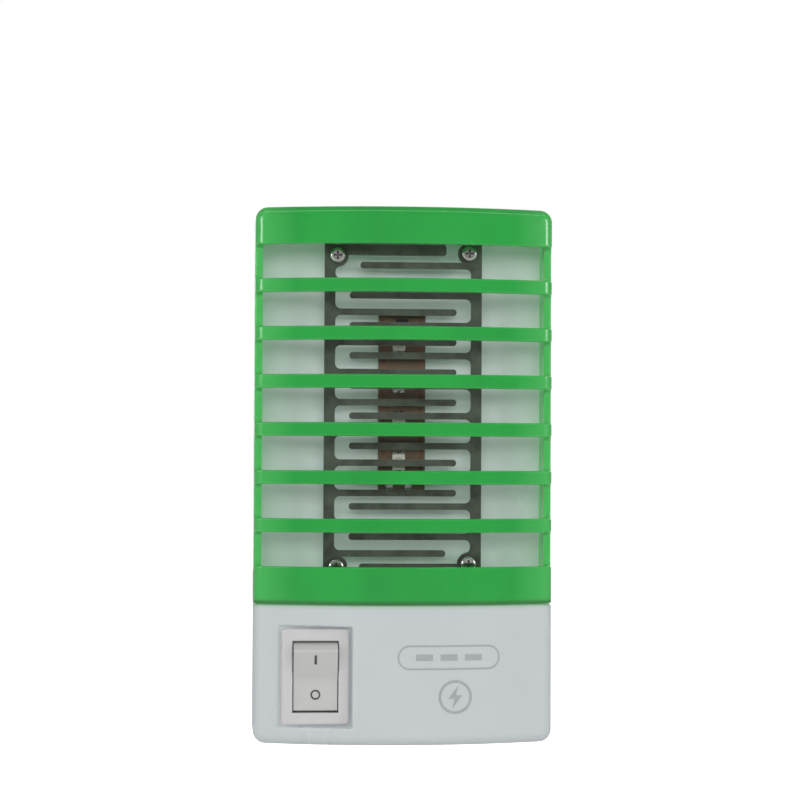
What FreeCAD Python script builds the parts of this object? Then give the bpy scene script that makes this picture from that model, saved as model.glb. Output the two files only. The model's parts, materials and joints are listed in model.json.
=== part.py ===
"""A plug-in electric insect killer: a white two-part case with a slide-off green louvred cover.

Frame: millimetres, +Z up, +X to the right seen from the front, the front faces -Y. The origin is on
the wall-contact face of the plug boss, midway between the two plug pins. "Depth" below always means
the distance in front of that wall-contact face, so a point at depth 10 has y = -10.
"""

import FreeCAD, Part
import math
import os
import Sketcher
from FreeCAD import Placement, Rotation, Vector
from types import SimpleNamespace

DIMENSIONS = {
    # Case outline.
    "case_width": 66.7,
    "top_rise": 71.9,
    "bottom_drop": 46.2,
    "base_drop": 15.6,
    "boss_step": 2.5,
    "boss_radius": 18.0,
    "seam_depth": 14.0,
    "crest_depth": 32.5,
    "front_sag": 5.0,
    "front_draft": 0.4,
    "outline_radius": 2.8,
    "corner_radius": 2.4,
    "rear_radius": 2.2,
    "shell_wall": 1.8,
    "front_wall": 1.6,
    "part_gap": 0.2,
    # Cover.
    "slots_top": 63.5,
    "slot_height": 7.5,
    "bar_height": 3.05,
    "slot_count": 7.0,
    "slot_end_depth": 24.6,
    "slot_end_radius": 1.2,
    "bar_edge_radius": 0.4,
    "lip_width": 2.4,
    "lip_thickness": 1.0,
    # Chassis plate behind the grid.
    "plate_depth": 15.4,
    "plate_thickness": 1.6,
    "plate_half_width": 31.45,
    # Case screws and their posts.
    "case_screw_x": 24.0,
    "case_screw_upper": 62.0,
    "case_screw_lower": 12.0,
    "case_post_radius": 4.2,
    "case_boss_radius": 3.0,
    "case_post_depth": 11.0,
    "case_seat_depth": 6.2,
    "case_head_radius": 2.6,
    "case_head_height": 2.0,
    "case_shank_radius": 1.25,
    "case_screw_length": 10.0,
    # High-voltage grid.
    "grid_depth": 22.0,
    "grid_sheet": 0.5,
    "grid_screw_x": 14.75,
    "grid_screw_upper": 62.0,
    "grid_screw_lower": 7.4,
    "grid_stagger": 0.3,
    "grid_half_width": 17.65,
    "grid_rail_width": 2.45,
    "grid_upper_end": 66.5,
    "grid_lower_end": 12.0,
    "grid_pad_radius": 2.5,
    "grid_root_radius": 1.2,
    "finger_tip_radius": 0.7,
    "finger_width": 1.5,
    "finger_pitch": 6.74,
    "finger_count": 9.0,
    "finger_tip": 12.0,
    "end_finger_tip": 9.65,
    "right_first_finger": 52.85,
    "left_first_finger": 55.85,
    "top_finger_width": 2.5,
    "top_finger_height": 63.05,
    "grid_post_radius": 2.4,
    "grid_head_radius": 1.75,
    "grid_head_height": 1.35,
    "grid_shank_radius": 0.98,
    "grid_screw_length": 9.8,
    "grid_nut_radius": 2.3,
    "grid_nut_height": 1.6,
    "washer_radius": 2.5,
    "washer_thickness": 0.4,
    # Light strip behind the grid.
    "strip_half_width": 5.3,
    "strip_lower": 9.2,
    "strip_upper": 49.8,
    "strip_thickness": 1.2,
    "strip_pad_height": 10.2,
    "strip_pad_left": 2.75,
    "strip_pad_right": 1.5,
    "lamp_first": 42.4,
    "lamp_pitch": 8.94,
    "lamp_count": 4.0,
    "lamp_offset": 0.7,
    "lamp_width": 2.8,
    "lamp_length": 3.5,
    "lamp_height": 1.4,
    "lamp_cup_radius": 1.15,
    "chip_length": 2.8,
    "chip_width": 1.5,
    "chip_height": 0.6,
    # Plug.
    "pin_x": 9.5,
    "pin_radius": 2.0,
    "pin_reach": 19.0,
    "pin_core_radius": 1.55,
    "pin_sleeve_length": 10.0,
    "pin_sleeve_radius": 1.8,
    "pin_tip_radius": 1.0,
    "pin_flange_radius": 3.2,
    "pin_flange": 1.2,
    "pin_tail_radius": 1.25,
    "pin_tail_depth": 9.0,
    # Rocker switch.
    "switch_x": 19.3,
    "switch_drop": 31.3,
    "bezel_width": 15.0,
    "bezel_height": 21.0,
    "bezel_thickness": 2.0,
    "bezel_gap": 0.5,
    "recess_depth": 28.2,
    "recess_mouth_radius": 0.45,
    "switch_body_width": 12.9,
    "switch_body_height": 18.9,
    "switch_body_length": 13.0,
    "switch_floor": 1.8,
    "rocker_window_width": 10.0,
    "rocker_window_height": 15.6,
    "rocker_pivot_depth": 27.8,
    "rocker_tilt": 12.0,
    "rocker_width": 9.6,
    "rocker_end_radius": 7.6,
    "rocker_valley": 1.9,
    "rocker_skirt": 2.6,
    "rocker_stub_radius": 1.2,
    "rocker_stub_length": 0.9,
    "stem_radius": 2.2,
    "stem_length": 4.4,
    "spring_bore_radius": 1.3,
    "plunger_radius": 1.1,
    "plunger_tip": 6.4,
    "spring_wire_radius": 0.16,
    "spring_radius": 0.9,
    "spring_start": 0.65,
    "spring_end": 3.2,
    "spring_turns": 4.0,
    "contact_tilt": 8.0,
    "contact_width": 3.8,
    "contact_thickness": 0.5,
    "contact_half_length": 5.2,
    "contact_pivot": 6.95,
    "tab_width": 4.8,
    "tab_thickness": 0.8,
    "tab_end_depth": 8.2,
    "output_tab_drop": 6.2,
    "rivet_radius": 1.1,
    # Circuit board and its components.
    "board_left": 9.0,
    "board_right": 28.4,
    "board_top_drop": 17.6,
    "board_bottom_drop": 42.6,
    "board_depth": 7.4,
    "board_thickness": 1.6,
    "board_post_radius": 2.4,
    "board_screw_radius": 0.95,
    "lead_radius": 0.35,
    "film_reach": 3.75,
    "film_width": 10.0,
    "film_thickness": 4.2,
    "film_height": 9.0,
    "dropper_reach": 5.0,
    "dropper_width": 13.0,
    "dropper_thickness": 6.0,
    "dropper_height": 11.5,
    "can_radius": 2.5,
    "can_height": 9.5,
    "can_reach": 1.0,
    "diode_radius": 1.35,
    "diode_length": 5.0,
    "diode_reach": 3.8,
    "resistor_radius": 1.15,
    "resistor_length": 6.2,
    "resistor_reach": 4.2,
    # Insulated wires.
    "wire_bend": 1.6,
    "mains_wire_radius": 0.8,
    "lamp_wire_radius": 0.55,
}

doc = FreeCAD.newDocument("insect_killer")
sheet = doc.addObject("Spreadsheet::Sheet", "Dimensions")


class Dim:
    """A length worked out from the sheet: its value, and the expression that binds it to the sheet."""

    def __init__(self, value, text=None):
        self.value = float(value)
        self.text = text or f"({self.value!r})"

    def __add__(self, other):
        return combine(self, "+", other, self.value + plain(other))

    def __radd__(self, other):
        return combine(other, "+", self, plain(other) + self.value)

    def __sub__(self, other):
        return combine(self, "-", other, self.value - plain(other))

    def __rsub__(self, other):
        return combine(other, "-", self, plain(other) - self.value)

    def __mul__(self, other):
        return combine(self, "*", other, self.value * plain(other))

    __rmul__ = __mul__

    def __truediv__(self, other):
        return combine(self, "/", other, self.value / plain(other))

    def __neg__(self):
        return 0 - self

    def root(self):
        return Dim(math.sqrt(self.value), f"sqrt({self.text})")


def plain(amount):
    return amount.value if isinstance(amount, Dim) else float(amount)


def combine(left, sign, right, value):
    texts = [side.text if isinstance(side, Dim) else repr(float(side)) for side in (left, right)]
    return Dim(value, f"({texts[0]} {sign} {texts[1]})")


def write_sheet():
    """Fills the sheet, one plain number with an alias per row, and returns the Dims by name."""
    names = {}
    for row, (alias, number) in enumerate(DIMENSIONS.items(), start=1):
        sheet.set(f"A{row}", alias)
        sheet.set(f"B{row}", str(number))
        sheet.setAlias(f"B{row}", alias)
        names[alias] = Dim(number, f"Dimensions.{alias}")
    doc.recompute()
    return SimpleNamespace(**names)


def bind(item, prop, amount):
    """Ties a property to the sheet, or sets it when the amount is a bare number."""
    item.setExpression(prop, amount.text if isinstance(amount, Dim) else repr(float(amount)))


d = write_sheet()

# Places that several sub-parts share.
HALF_WIDTH = d.case_width / 2
CORNER_X = HALF_WIDTH - d.front_draft
CORNER_DEPTH = d.crest_depth - d.front_sag
FRONT_RADIUS = (CORNER_X * CORNER_X + d.front_sag * d.front_sag) / (2 * d.front_sag)
BOTTOM = -d.bottom_drop
BASE_TOP = -d.base_drop
FLOOR_DEPTH = d.boss_step + d.shell_wall
PLATE_FRONT = d.plate_depth + d.plate_thickness
PLATE_TOP = d.top_rise - d.front_wall - 0.5
GRID_FRONT = d.grid_depth + d.grid_sheet
STRIP_FRONT = PLATE_FRONT + d.strip_thickness
BOARD_FRONT = d.board_depth + d.board_thickness
SWITCH_X = -d.switch_x
SWITCH_Z = -d.switch_drop
CASE_SCREWS = [
    (side * d.case_screw_x, height)
    for side in (-1, 1)
    for height in (d.case_screw_upper, -d.case_screw_lower)
]
GRID_SCREWS = [
    (side * d.grid_screw_x, height + side * d.grid_stagger)
    for side in (-1, 1)
    for height in (d.grid_screw_upper, -d.grid_screw_lower)
]
BOARD_POSTS = [(-d.board_left + 3, -d.board_bottom_drop + 3), (d.board_right - 3, -d.board_top_drop - 3)]
STRIP_PADS = [(-d.strip_pad_left, d.strip_pad_height), (d.strip_pad_right, d.strip_pad_height)]


class Sketch:
    """A sketch whose points are pinned to amounts from the sheet. Its plane is one of the body's own."""

    def __init__(self, body, plane, offset):
        self.item = body.newObject("Sketcher::SketchObject", f"{body.Name}_sketch")
        support = [o for o in body.Origin.OriginFeatures if o.Role == plane][0]
        self.item.AttachmentSupport = [(support, "")]
        self.item.MapMode = "FlatFace"
        bind(self.item, "AttachmentOffset.Base.z", offset)

    def fix(self, kind, amount, *where):
        index = self.item.addConstraint(Sketcher.Constraint(kind, *where, plain(amount)))
        if isinstance(amount, Dim):
            self.item.setExpression(f"Constraints[{index}]", amount.text)

    def pin(self, curve, end, point):
        self.fix("DistanceX", point[0], -1, 1, curve, end)
        self.fix("DistanceY", point[1], -1, 1, curve, end)

    def polygon(self, points):
        """Straight sides through the points, closed."""
        self.path([(point, None) for point in points])

    def path(self, steps):
        """A closed outline. Each step is (point, bulge): bulge is None for a straight side to the next
        point, or (radius, side) for an arc, side 1 turning left along the way and -1 turning right."""
        curves = []
        for here, there in zip(steps, steps[1:] + steps[:1]):
            start = Vector(plain(here[0][0]), plain(here[0][1]), 0)
            end = Vector(plain(there[0][0]), plain(there[0][1]), 0)
            if here[1] is None:
                curves.append((self.item.addGeometry(Part.LineSegment(start, end)), 1, 2))
                continue
            radius, side = here[1]
            chord = end - start
            size = plain(radius)
            across = Vector(-chord.y, chord.x, 0).normalize()
            centre = (start + end) / 2 + across * side * math.sqrt(size**2 - (chord.Length / 2) ** 2)
            first, last = (start, end) if side > 0 else (end, start)
            angles = [math.atan2(p.y - centre.y, p.x - centre.x) for p in (first, last)]
            circle = Part.Circle(centre, Vector(0, 0, 1), size)
            curve = self.item.addGeometry(Part.ArcOfCircle(circle, *angles))
            self.fix("Radius", radius, curve)
            curves.append((curve, 1, 2) if side > 0 else (curve, 2, 1))
        for index, (curve, begin, _) in enumerate(curves):
            before, _, finish = curves[index - 1]
            self.item.addConstraint(Sketcher.Constraint("Coincident", before, finish, curve, begin))
            self.pin(curve, begin, steps[index][0])

    def rectangle(self, x0, y0, x1, y1):
        self.polygon([(x0, y0), (x1, y0), (x1, y1), (x0, y1)])

    def circle(self, centre, radius):
        shape = Part.Circle(Vector(plain(centre[0]), plain(centre[1]), 0), Vector(0, 0, 1), plain(radius))
        curve = self.item.addGeometry(shape)
        self.pin(curve, 3, centre)
        self.fix("Radius", radius, curve)

    def circles(self, centres, radius):
        for centre in centres:
            self.circle(centre, radius)


class Moulding:
    """One sub-part made as a PartDesign body. Front sketches lie parallel to the wall at a depth, plan
    sketches lie flat at a height, and side sketches stand at a distance to the right."""

    def __init__(self, label, several=False):
        self.body = doc.addObject("PartDesign::Body", label)
        self.body.Label = label
        self.body.AllowCompound = several

    def front(self, depth):
        return Sketch(self.body, "XZ_Plane", depth)

    def plan(self, height):
        return Sketch(self.body, "XY_Plane", height)

    def side(self, x):
        return Sketch(self.body, "YZ_Plane", x)

    def _feature(self, kind, sketch, length, backwards):
        feature = self.body.newObject(f"PartDesign::{kind}", f"{self.body.Name}_{kind}")
        feature.Profile = sketch.item
        bind(feature, "Length", length)
        feature.Reversed = backwards
        return self._settle(feature)

    def _settle(self, feature):
        doc.recompute()
        if feature.Shape.isNull() or {"Invalid", "Error"} & set(feature.State):
            raise RuntimeError(f"{feature.Name} failed: {feature.State}")
        return feature

    def pad(self, sketch, length):
        """Adds material from the sketch towards the front, top or right."""
        return self._feature("Pad", sketch, length, False)

    def cut_back(self, sketch, length):
        """Removes material from the sketch towards the wall, bottom or left."""
        return self._cut(sketch, length, False)

    def cut_on(self, sketch, length):
        """Removes material from the sketch towards the front, top or right."""
        return self._cut(sketch, length, True)

    def _cut(self, sketch, length, backwards):
        before = self.body.Shape.Volume
        feature = self._feature("Pocket", sketch, length, backwards)
        if feature.Shape.Volume > before - 1e-6:
            raise RuntimeError(f"{feature.Name} cut nothing")
        return feature

    def revolve(self, sketch, axis):
        feature = self.body.newObject("PartDesign::Revolution", f"{self.body.Name}_turn")
        feature.Profile = sketch.item
        feature.ReferenceAxis = (sketch.item, [axis])
        feature.Angle = 360
        return self._settle(feature)

    def repeat(self, feature, axis, count, spacing, backwards=False):
        pattern = self.body.newObject("PartDesign::LinearPattern", f"{self.body.Name}_row")
        pattern.Originals = [feature]
        direction = [o for o in self.body.Origin.OriginFeatures if o.Role == axis][0]
        pattern.Direction = (direction, [""])
        pattern.Mode = "Spacing"
        pattern.Reversed = backwards
        bind(pattern, "Offset", spacing)
        bind(pattern, "Occurrences", count)
        self.body.Tip = pattern
        return self._settle(pattern)

    def soften(self, radius, wanted, kind="Fillet"):
        """Rounds, or chamfers, every edge of the piece so far that wanted(edge) picks."""
        base = self.body.Tip
        names = [f"Edge{i}" for i, edge in enumerate(base.Shape.Edges, start=1) if wanted(edge)]
        if not names:
            raise RuntimeError(f"no edge of {self.body.Label} was picked")
        feature = self.body.newObject(f"PartDesign::{kind}", f"{self.body.Name}_{kind}")
        feature.Base = (base, names)
        bind(feature, "Radius" if kind == "Fillet" else "Size", radius)
        return self._settle(feature)


def ends(edge):
    """The lowest and highest (x, depth, z) that the edge reaches, from places along it."""
    first, last = edge.ParameterRange
    places = [edge.valueAt(first + (last - first) * step / 8) for step in range(9)]
    triples = [(place.x, -place.y, place.z) for place in places]
    return tuple(map(min, zip(*triples))), tuple(map(max, zip(*triples)))


def near(first, second, slack=0.02):
    return abs(first - second) < slack


def spans(edge, axis, length_share=0.9):
    """True when the edge runs mostly along axis 0 (x), 1 (depth) or 2 (z)."""
    low, high = ends(edge)
    return high[axis] - low[axis] > length_share * edge.Length


def at(edge, axis, place, slack=0.02):
    """True when the whole edge lies at that x, depth or z."""
    low, high = ends(edge)
    return near(low[axis], plain(place), slack) and near(high[axis], plain(place), slack)


def front_outline(wall, back_depth):
    """The case's plan outline, moved in by wall: drafted sides and one shallow front arc."""
    radius = FRONT_RADIUS - wall
    corner_x = CORNER_X - wall
    centre_depth = d.crest_depth - FRONT_RADIUS
    corner_depth = centre_depth + (radius * radius - corner_x * corner_x).root()
    slope = d.front_draft / (CORNER_DEPTH - d.seam_depth)
    back_x = corner_x + slope * (corner_depth - back_depth)
    return [
        ((-back_x, -back_depth), None),
        ((-corner_x, -corner_depth), (radius, 1)),
        ((corner_x, -corner_depth), None),
        ((back_x, -back_depth), None),
    ]


def front_envelope(piece, back_depth):
    """The whole front of the case, rounded: the base and the cover are both cut from this form."""
    outline = piece.plan(BOTTOM)
    outline.path(front_outline(Dim(0), back_depth))
    piece.pad(outline, d.top_rise + d.bottom_drop)
    piece.soften(d.outline_radius, lambda e: spans(e, 1) and abs(e.CenterOfMass.x) > plain(CORNER_X) - 0.5)
    piece.soften(d.corner_radius, lambda e: ends(e)[0][1] > plain(CORNER_DEPTH) - 0.1)


def rear_shell():
    """The back half of the case, with the plug boss, the screw posts and the board posts."""
    piece = Moulding("rear_shell")
    outline = piece.front(d.boss_step)
    outline.rectangle(-HALF_WIDTH, BOTTOM, HALF_WIDTH, d.top_rise)
    piece.pad(outline, d.seam_depth - d.boss_step)
    piece.soften(d.outline_radius, lambda e: spans(e, 1))
    piece.soften(d.rear_radius, lambda e: at(e, 1, d.boss_step))
    inside = piece.front(d.seam_depth)
    inner_x = HALF_WIDTH - d.shell_wall
    inside.rectangle(-inner_x, BOTTOM + d.shell_wall, inner_x, d.top_rise - d.shell_wall)
    piece.cut_back(inside, d.seam_depth - FLOOR_DEPTH)
    piece.soften(1.6, lambda e: spans(e, 1) and near(abs(e.CenterOfMass.x), plain(inner_x)))
    boss = piece.front(Dim(0))
    boss.circle((Dim(0), Dim(0)), d.boss_radius)
    piece.pad(boss, d.boss_step + 0.5)
    piece.soften(0.8, lambda e: at(e, 1, 0))
    posts = piece.front(FLOOR_DEPTH - 0.3)
    posts.circles(CASE_SCREWS, d.case_post_radius)
    piece.pad(posts, d.case_post_depth - FLOOR_DEPTH + 0.3)
    board_posts = piece.front(FLOOR_DEPTH - 0.3)
    board_posts.circles(BOARD_POSTS, d.board_post_radius)
    piece.pad(board_posts, d.board_depth - FLOOR_DEPTH + 0.3)
    heads = piece.front(d.boss_step)
    heads.circles(CASE_SCREWS, d.case_head_radius + 0.3)
    piece.cut_on(heads, d.case_seat_depth - d.boss_step)
    shanks = piece.front(d.case_seat_depth - 0.1)
    shanks.circles(CASE_SCREWS, d.case_shank_radius + 0.2)
    piece.cut_on(shanks, d.case_post_depth - d.case_seat_depth + 0.2)
    pilots = piece.front(d.board_depth)
    pilots.circles(BOARD_POSTS, d.board_screw_radius + 0.03)
    piece.cut_back(pilots, d.board_depth - FLOOR_DEPTH)
    pins = piece.front(Dim(0))
    pins.circles([(-d.pin_x, Dim(0)), (d.pin_x, Dim(0))], d.pin_radius + 0.03)
    piece.cut_on(pins, FLOOR_DEPTH + 0.2)


def front_housing():
    """The white base with the switch recess, and the chassis plate that stands up inside the cover."""
    piece = Moulding("front_housing")
    front_envelope(piece, d.seam_depth)
    above = piece.plan(BASE_TOP)
    above.rectangle(-HALF_WIDTH - 1, -d.crest_depth - 1, HALF_WIDTH + 1, -d.seam_depth + 1)
    piece.cut_on(above, d.top_rise + d.base_drop)
    piece.soften(0.7, lambda e: at(e, 2, BASE_TOP) and ends(e)[1][1] > plain(d.seam_depth) + 1)
    cavity = piece.plan(BOTTOM + d.front_wall)
    cavity.path(front_outline(d.front_wall, d.seam_depth - 0.5))
    piece.cut_on(cavity, BASE_TOP - BOTTOM - d.front_wall - d.shell_wall)
    plate = piece.front(d.plate_depth)
    plate.rectangle(-d.plate_half_width, BASE_TOP - d.shell_wall, d.plate_half_width, PLATE_TOP)
    piece.pad(plate, d.plate_thickness)
    piece.soften(2.0, lambda e: spans(e, 1) and at(e, 2, PLATE_TOP))
    posts = piece.front(PLATE_FRONT - 0.2)
    posts.circles(GRID_SCREWS, d.grid_post_radius)
    piece.pad(posts, d.grid_depth - PLATE_FRONT + 0.2)
    bosses = piece.front(d.case_post_depth)
    bosses.circles(CASE_SCREWS, d.case_boss_radius)
    piece.pad(bosses, d.plate_depth - d.case_post_depth + 0.2)
    switch_seat(piece)
    grid_holes = piece.front(d.plate_depth - 0.5)
    grid_holes.circles(GRID_SCREWS, d.grid_shank_radius + 0.1)
    piece.cut_on(grid_holes, d.grid_depth - d.plate_depth + 1)
    pilots = piece.front(d.case_post_depth)
    pilots.circles(CASE_SCREWS, d.case_shank_radius + 0.03)
    piece.cut_on(pilots, PLATE_FRONT - d.case_post_depth - 0.5)
    wires = piece.front(d.plate_depth - 0.1)
    wires.circles(STRIP_PADS, d.lamp_wire_radius + 0.35)
    piece.cut_on(wires, d.plate_thickness + 0.2)


def switch_seat(piece):
    """Thickens the wall behind the switch, then sinks the flat recess and cuts the window for its body."""
    seat_x = d.bezel_width / 2 + d.bezel_gap + 1.6
    seat_z = d.bezel_height / 2 + d.bezel_gap + 1.4
    seat = piece.front(d.recess_depth - d.front_wall)
    seat.rectangle(SWITCH_X - seat_x, SWITCH_Z - seat_z, SWITCH_X + seat_x, SWITCH_Z + seat_z)
    piece.pad(seat, d.front_wall)
    step = piece.front(d.recess_depth - d.front_wall)
    step.rectangle(SWITCH_X - 2.5, SWITCH_Z - seat_z, SWITCH_X + seat_x, SWITCH_Z + seat_z)
    piece.pad(step, d.front_wall + 1.9)
    recess_x = d.bezel_width / 2 + d.bezel_gap
    recess_z = d.bezel_height / 2 + d.bezel_gap
    recess = piece.front(d.crest_depth + 1)
    recess.rectangle(SWITCH_X - recess_x, SWITCH_Z - recess_z, SWITCH_X + recess_x, SWITCH_Z + recess_z)
    piece.cut_back(recess, d.crest_depth + 1 - d.recess_depth)
    mouth = plain(recess_x) + 0.1, plain(recess_z) + 0.1
    piece.soften(d.recess_mouth_radius, lambda e: around_switch(e, *mouth))
    window_x = d.switch_body_width / 2 + 0.1
    window_z = d.switch_body_height / 2 + 0.1
    window = piece.front(d.recess_depth + 0.1)
    window.rectangle(SWITCH_X - window_x, SWITCH_Z - window_z, SWITCH_X + window_x, SWITCH_Z + window_z)
    piece.cut_back(window, d.front_wall + 1)


def around_switch(edge, reach_x, reach_z):
    """True for the edges where the recess opens through the curved front."""
    low, high = ends(edge)
    centre_x, centre_z = plain(SWITCH_X), plain(SWITCH_Z)
    inside_x = centre_x - reach_x < low[0] and high[0] < centre_x + reach_x
    inside_z = centre_z - reach_z < low[2] and high[2] < centre_z + reach_z
    return inside_x and inside_z and low[1] > plain(d.recess_depth) + 0.5


def grille_cover():
    """The green cover: a curved shell with wide slots between bars, and lips that hook the plate."""
    piece = Moulding("grille_cover")
    back_depth = d.seam_depth + d.part_gap
    front_envelope(piece, back_depth)
    below = piece.plan(BASE_TOP + d.part_gap)
    below.rectangle(-HALF_WIDTH - 1, -d.crest_depth - 1, HALF_WIDTH + 1, -d.seam_depth + 1)
    piece.cut_back(below, d.bottom_drop - d.base_drop + 1)
    cavity = piece.plan(BASE_TOP - 1)
    cavity.path(front_outline(d.front_wall, d.seam_depth - 0.5))
    piece.cut_on(cavity, d.top_rise - d.front_wall - BASE_TOP + 1)
    slot = piece.side(-HALF_WIDTH - 1)
    end, corner = -d.slot_end_depth, d.slot_end_radius
    far = -d.crest_depth - 1
    low = d.slots_top - d.slot_height
    slot.path(
        [
            ((far, low), None),
            ((end - corner, low), (corner, 1)),
            ((end, low + corner), None),
            ((end, d.slots_top - corner), (corner, 1)),
            ((end - corner, d.slots_top), None),
            ((far, d.slots_top), None),
        ]
    )
    first = piece.cut_on(slot, 2 * HALF_WIDTH + 2)
    piece.repeat(first, "Z_Axis", d.slot_count, d.slot_height + d.bar_height, backwards=True)
    piece.soften(d.bar_edge_radius, bar_edge)
    lips = piece.front(back_depth)
    wall_x = HALF_WIDTH - d.front_wall + 0.4
    for side in (-1, 1):
        lips.rectangle(
            side * (wall_x - d.lip_width), BASE_TOP + d.part_gap, side * wall_x, d.top_rise - 1
        )
    piece.pad(lips, d.lip_thickness)


def bar_edge(edge):
    """True for the outer front edges of the slots."""
    low, high = ends(edge)
    inside_slots = plain(d.slots_top) + 0.1 > low[2] > -10 and near(low[2], high[2])
    middle = edge.valueAt((edge.FirstParameter + edge.LastParameter) / 2)
    outer = -middle.y > plain(d.crest_depth) - 1 and edge.Length > 40
    return inside_slots and outer


def electrode(label, side):
    """One comb of the grid. Side -1 is the left comb, whose fingers reach to the right."""
    piece = Moulding(label)
    outer = side * d.grid_half_width
    inner = side * (d.grid_half_width - d.grid_rail_width)
    rail = piece.front(d.grid_depth)
    rail.rectangle(outer, -d.grid_lower_end, inner, d.grid_upper_end)
    piece.pad(rail, d.grid_sheet)
    own_screws = [place for place in GRID_SCREWS if place[0].value * side > 0]
    pads = piece.front(d.grid_depth)
    pads.circles(own_screws, d.grid_pad_radius)
    piece.pad(pads, d.grid_sheet)
    first_height = d.left_first_finger if side < 0 else d.right_first_finger
    last_height = first_height - d.finger_pitch * d.finger_count
    root = inner + side * 0.3
    fingers = [(last_height, d.finger_width, d.end_finger_tip)]
    if side < 0:
        fingers.append((d.top_finger_height, d.top_finger_width, d.end_finger_tip))
    else:
        fingers.append((first_height + d.finger_pitch, d.finger_width, d.end_finger_tip))
    for height, width, tip in fingers:
        finger = piece.front(d.grid_depth)
        finger.rectangle(root, height - width / 2, -side * tip, height + width / 2)
        piece.pad(finger, d.grid_sheet)
    half = d.finger_width / 2
    finger = piece.front(d.grid_depth)
    finger.rectangle(root, first_height - half, -side * d.finger_tip, first_height + half)
    first = piece.pad(finger, d.grid_sheet)
    piece.repeat(first, "Z_Axis", d.finger_count, d.finger_pitch, backwards=True)
    lowest, highest = -plain(d.grid_lower_end) + 0.1, plain(d.grid_upper_end) - 0.1
    piece.soften(
        d.grid_root_radius,
        lambda e: spans(e, 1) and at(e, 0, inner) and lowest < e.CenterOfMass.z < highest,
    )
    tips = -plain(d.end_finger_tip) + 0.1
    piece.soften(d.finger_tip_radius, lambda e: spans(e, 1) and e.CenterOfMass.x * side < tips)
    holes = piece.front(d.grid_depth - 0.1)
    holes.circles(own_screws, d.grid_shank_radius + 0.08)
    piece.cut_on(holes, d.grid_sheet + 0.2)


def plug_pin(label, side):
    """One round plug pin turned about its own axis: tail, flange, shank, neck for the sleeve and tip."""
    piece = Moulding(label)
    profile = piece.side(side * d.pin_x)
    round_start = d.pin_reach - d.pin_tip_radius
    flange_end = -FLOOR_DEPTH - d.pin_flange
    zero = Dim(0)
    profile.path(
        [
            ((-d.pin_tail_depth, zero), None),
            ((d.pin_reach, zero), None),
            ((d.pin_reach, d.pin_radius - d.pin_tip_radius), (d.pin_tip_radius, 1)),
            ((round_start, d.pin_radius), None),
            ((d.pin_sleeve_length, d.pin_radius), None),
            ((d.pin_sleeve_length, d.pin_core_radius), None),
            ((Dim(-1.5), d.pin_core_radius), None),
            ((Dim(-1.5), d.pin_sleeve_radius), None),
            ((-FLOOR_DEPTH, d.pin_sleeve_radius), None),
            ((-FLOOR_DEPTH, d.pin_flange_radius), None),
            ((flange_end, d.pin_flange_radius), None),
            ((flange_end, d.pin_tail_radius), None),
            ((-d.pin_tail_depth, d.pin_tail_radius), None),
        ]
    )
    piece.revolve(profile, "H_Axis")


def pin_sleeves():
    """The two insulating sleeves, a hair slimmer than the bare pin ends."""
    piece = Moulding("pin_sleeves", several=True)
    tube = piece.front(-d.pin_sleeve_length + 0.02)
    for side in (-1, 1):
        tube.circle((side * d.pin_x, Dim(0)), d.pin_sleeve_radius)
        tube.circle((side * d.pin_x, Dim(0)), d.pin_core_radius + 0.02)
    piece.pad(tube, d.pin_sleeve_length + 1.46)


def cross_points(centre, reach, half):
    """A plus-shaped outline for a screwdriver."""
    x, z = centre
    return [
        (x - reach, z - half),
        (x - half, z - half),
        (x - half, z - reach),
        (x + half, z - reach),
        (x + half, z - half),
        (x + reach, z - half),
        (x + reach, z + half),
        (x + half, z + half),
        (x + half, z + reach),
        (x - half, z + reach),
        (x - half, z + half),
        (x - reach, z + half),
    ]


def screws(label, places, seat_depth, head, shank, toward_wall):
    """Pan-head cross screws. Head and shank are (radius, height) pairs; the head sits at seat_depth and
    its driver recess faces the wall or the front."""
    piece = Moulding(label, several=True)
    head_radius, head_height = head
    shank_radius, shank_length = shank
    heads = piece.front(seat_depth - head_height if toward_wall else seat_depth)
    heads.circles(places, head_radius)
    piece.pad(heads, head_height)
    top = seat_depth - head_height if toward_wall else seat_depth + head_height
    piece.soften(head_height * 0.45, lambda e: at(e, 1, top))
    shanks = piece.front(seat_depth - 0.1 if toward_wall else seat_depth - shank_length)
    shanks.circles(places, shank_radius)
    piece.pad(shanks, shank_length + 0.1)
    end = seat_depth + shank_length if toward_wall else seat_depth - shank_length
    piece.soften(0.3, lambda e: at(e, 1, end), kind="Chamfer")
    crosses = piece.front(top)
    for place in places:
        crosses.polygon(cross_points(place, head_radius * 0.55, head_radius * 0.13))
    if toward_wall:
        piece.cut_on(crosses, head_height * 0.55)
    else:
        piece.cut_back(crosses, head_height * 0.55)


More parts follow.
